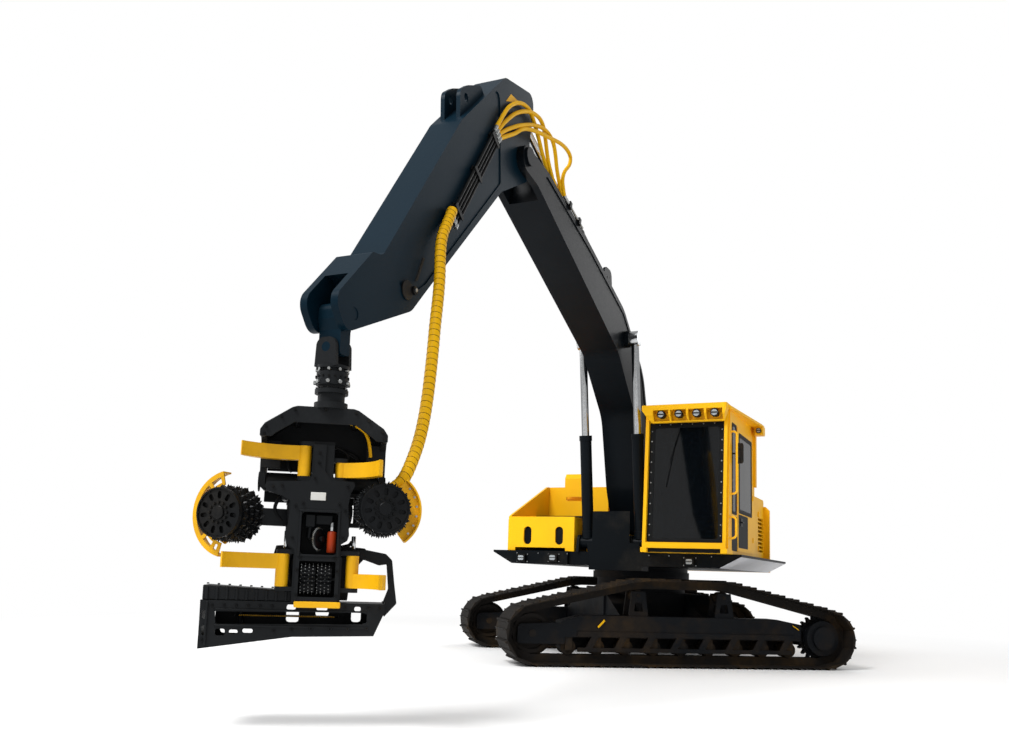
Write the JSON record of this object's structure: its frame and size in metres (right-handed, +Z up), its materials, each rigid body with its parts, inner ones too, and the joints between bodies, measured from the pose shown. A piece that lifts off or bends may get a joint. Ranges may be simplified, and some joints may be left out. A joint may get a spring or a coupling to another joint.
{
  "type": "tracked forestry harvester",
  "caption": "Forestry harvester: tracked excavator base, guarded cab, knuckle boom and a harvesting head with feed rollers, delimbing knives and saw box.",
  "frame": {"origin": "on the ground under the swing axis", "axes": "+Z up along the swing axis, -Y toward the boom tip, +X to the machine's left, the cab side"},
  "size_m": [5.8062, 11.1056, 6.0558],
  "materials": {
    "worn_track_steel": "matte",
    "black_paint": "satin",
    "yellow_paint": "satin",
    "cast_engine": "matte",
    "exhaust_steel": "satin",
    "seat_plastic": "matte",
    "blue_paint": "satin",
    "chrome": "polished",
    "head_paint": "satin"
  },
  "bodies": {
    "undercarriage": {"track_left": "worn_track_steel", "track_right": "worn_track_steel", "track_frames": "black_paint", "lower_rollers": "worn_track_steel", "carrier_rollers": "worn_track_steel", "idlers": "worn_track_steel", "final_drives": "black_paint", "roller_guards": "black_paint", "carbody": "black_paint", "swing_bearing": "black_paint"},
    "upper": {"deck": "black_paint", "counterweight": "yellow_paint", "engine_house": "yellow_paint", "engine": "cast_engine", "exhaust": "exhaust_steel", "tank": "yellow_paint", "tray_box": "yellow_paint", "centre_panel": "black_paint", "cab": "yellow_paint", "cab_roof": "yellow_paint", "cab_guard": "yellow_paint", "lamps": "black_paint", "cab_handles": "black_paint", "seat": "seat_plastic"},
    "cab_door": {"cab_door": "yellow_paint"},
    "door_left": {"door_left": "yellow_paint"},
    "door_right": {"door_right": "yellow_paint"},
    "engine_hood": {"engine_hood": "yellow_paint"},
    "boom": {"boom": "black_paint", "boom_tubes": "black_paint"},
    "boom_ram_barrel": {"boom_ram_barrel": "black_paint"},
    "boom_ram_rod": {"boom_ram_rod": "chrome"},
    "stick": {"stick": "blue_paint", "stick_tubes": "black_paint"},
    "stick_ram_barrel": {"stick_ram_barrel": "black_paint"},
    "stick_ram_rod": {"stick_ram_rod": "chrome"},
    "hanger": {"hanger": "blue_paint"},
    "rotator": {"rotator": "head_paint"},
    "head_bracket": {"head_bracket": "head_paint"},
    "head_frame": {"head_frame": "head_paint", "saw_box": "head_paint"},
    "head_wheels": {"head_wheels": "worn_track_steel"},
    "saw_bar": {"saw_bar": "head_paint"},
    "knife_upper_left": {"knife_upper_left": "head_paint"},
    "knife_upper_right": {"knife_upper_right": "head_paint"},
    "knife_lower_left": {"knife_lower_left": "head_paint"},
    "knife_lower_right": {"knife_lower_right": "head_paint"},
    "feed_arm_left": {"feed_arm_left": "head_paint"},
    "feed_arm_right": {"feed_arm_right": "head_paint"},
    "feed_roller_left": {"feed_roller_left": "head_paint"},
    "feed_roller_right": {"feed_roller_right": "head_paint"}
  },
  "joints": [
    {"name": "swing", "type": "hinge", "parent": "undercarriage", "child": "upper", "pos_m": [0, 0, 1.19], "axis": [0, 0, 1], "continuous": true},
    {"name": "cab_door_hinge", "type": "hinge", "parent": "upper", "child": "cab_door", "pos_m": [1.592, -0.045, 2.2], "axis": [0, 0, 1], "range_deg": [0, 150]},
    {"name": "door_left_hinge", "type": "hinge", "parent": "upper", "child": "door_left", "pos_m": [1.386, 1.606, 1.9], "axis": [0, 0, 1], "range_deg": [0, 110]},
    {"name": "door_right_hinge", "type": "hinge", "parent": "upper", "child": "door_right", "pos_m": [-1.516, 1.606, 1.9], "axis": [0, 0, -1], "range_deg": [0, 110]},
    {"name": "hood_hinge", "type": "hinge", "parent": "upper", "child": "engine_hood", "pos_m": [0, 1.936, 2.466], "axis": [-1, 0, 0], "range_deg": [0, 75]},
    {"name": "boom_foot", "type": "hinge", "parent": "upper", "child": "boom", "pos_m": [0, -0.45, 1.85], "axis": [-1, 0, 0], "range_deg": [-40, 18]},
    {"name": "boom_ram_foot", "type": "hinge", "parent": "upper", "child": "boom_ram_barrel", "pos_m": [0, -1.25, 1.55], "axis": [-1, 0, 0], "range_deg": [-41.12, 18.5]},
    {"name": "boom_ram_slide", "type": "slide", "parent": "boom_ram_barrel", "child": "boom_ram_rod", "axis": [0, -0.1383, 0.9904], "range_m": [-0.5963, 0.2683]},
    {"name": "stick_pivot", "type": "hinge", "parent": "boom", "child": "stick", "pos_m": [0, -4.95, 5.28], "axis": [1, 0, 0], "range_deg": [-35, 45]},
    {"name": "stick_ram_foot", "type": "hinge", "parent": "boom", "child": "stick_ram_barrel", "pos_m": [0, -2.05, 4.93], "axis": [1, 0, 0], "range_deg": [-2.21, 2.84]},
    {"name": "stick_ram_slide", "type": "slide", "parent": "stick_ram_barrel", "child": "stick_ram_rod", "axis": [0, -0.9396, 0.3423], "range_m": [-0.3849, 0.4949]},
    {"name": "hanger_pin", "type": "hinge", "parent": "stick", "child": "hanger", "pos_m": [0, -7.75, 2.9], "axis": [-1, 0, 0], "range_deg": [-30, 60]},
    {"name": "cross_pin", "type": "hinge", "parent": "hanger", "child": "rotator", "pos_m": [0, -7.75, 2.65], "axis": [0, 1, 0], "range_deg": [-25, 25]},
    {"name": "rotator_turn", "type": "hinge", "parent": "rotator", "child": "head_bracket", "pos_m": [0, -7.75, 2.3], "axis": [0, 0, 1], "continuous": true},
    {"name": "head_tilt", "type": "hinge", "parent": "head_bracket", "child": "head_frame", "pos_m": [-0.1565, -7.5788, 1.7], "axis": [0.8192, 0.5736, 0], "range_deg": [0, 80]},
    {"name": "knife_upper_left_hinge", "type": "hinge", "parent": "head_frame", "child": "knife_upper_left", "pos_m": [-0.16548, -7.79262, 1.842], "axis": [0, 0, 1], "range_deg": [-5, 100]},
    {"name": "knife_upper_right_hinge", "type": "hinge", "parent": "head_frame", "child": "knife_upper_right", "pos_m": [0.0475, -7.64349, 1.788], "axis": [0, 0, -1], "range_deg": [-40, 65]},
    {"name": "knife_lower_left_hinge", "type": "hinge", "parent": "head_frame", "child": "knife_lower_left", "pos_m": [-0.25559, -7.85572, 1.078], "axis": [0, 0, 1], "range_deg": [-16, 89]},
    {"name": "knife_lower_right_hinge", "type": "hinge", "parent": "head_frame", "child": "knife_lower_right", "pos_m": [0.13761, -7.5804, 1.078], "axis": [0, 0, -1], "range_deg": [-51, 54]},
    {"name": "head_wheels_spin", "type": "hinge", "parent": "head_frame", "child": "head_wheels", "pos_m": [-0.08882, -7.67546, 1.022], "axis": [0.8192, 0.5736, 0], "continuous": true},
    {"name": "saw_swing", "type": "hinge", "parent": "head_frame", "child": "saw_bar", "pos_m": [-0.68816, -7.74354, 0.748], "axis": [0, 0, -1], "range_deg": [0, 100]},
    {"name": "feed_arm_left_hinge", "type": "hinge", "parent": "head_frame", "child": "feed_arm_left", "pos_m": [-0.29738, -7.72628, 1.445], "axis": [0, 0, 1], "range_deg": [0, 30]},
    {"name": "feed_roller_left_spin", "type": "hinge", "parent": "feed_arm_left", "child": "feed_roller_left", "pos_m": [-0.49314, -8.02205, 1.445], "axis": [0.0872, -0.9962, 0], "continuous": true},
    {"name": "feed_arm_right_hinge", "type": "hinge", "parent": "head_frame", "child": "feed_arm_right", "pos_m": [0.08188, -7.44851, 1.515], "axis": [0, 0, -1], "range_deg": [-30, 5]},
    {"name": "feed_roller_right_spin", "type": "hinge", "parent": "feed_arm_right", "child": "feed_roller_right", "pos_m": [0.27686, -7.48289, 1.515], "axis": [0.6561, -0.7547, 0], "continuous": true}
  ],
  "couplings": [
    {"joint": "boom_ram_foot", "follows": "boom_foot", "ratio": 1.0079},
    {"joint": "boom_ram_slide", "follows": "boom_foot", "m_per_rad": 0.83739},
    {"joint": "stick_ram_foot", "follows": "stick_pivot", "ratio": 0.061881},
    {"joint": "stick_ram_slide", "follows": "stick_pivot", "m_per_rad": 0.61777}
  ]
}
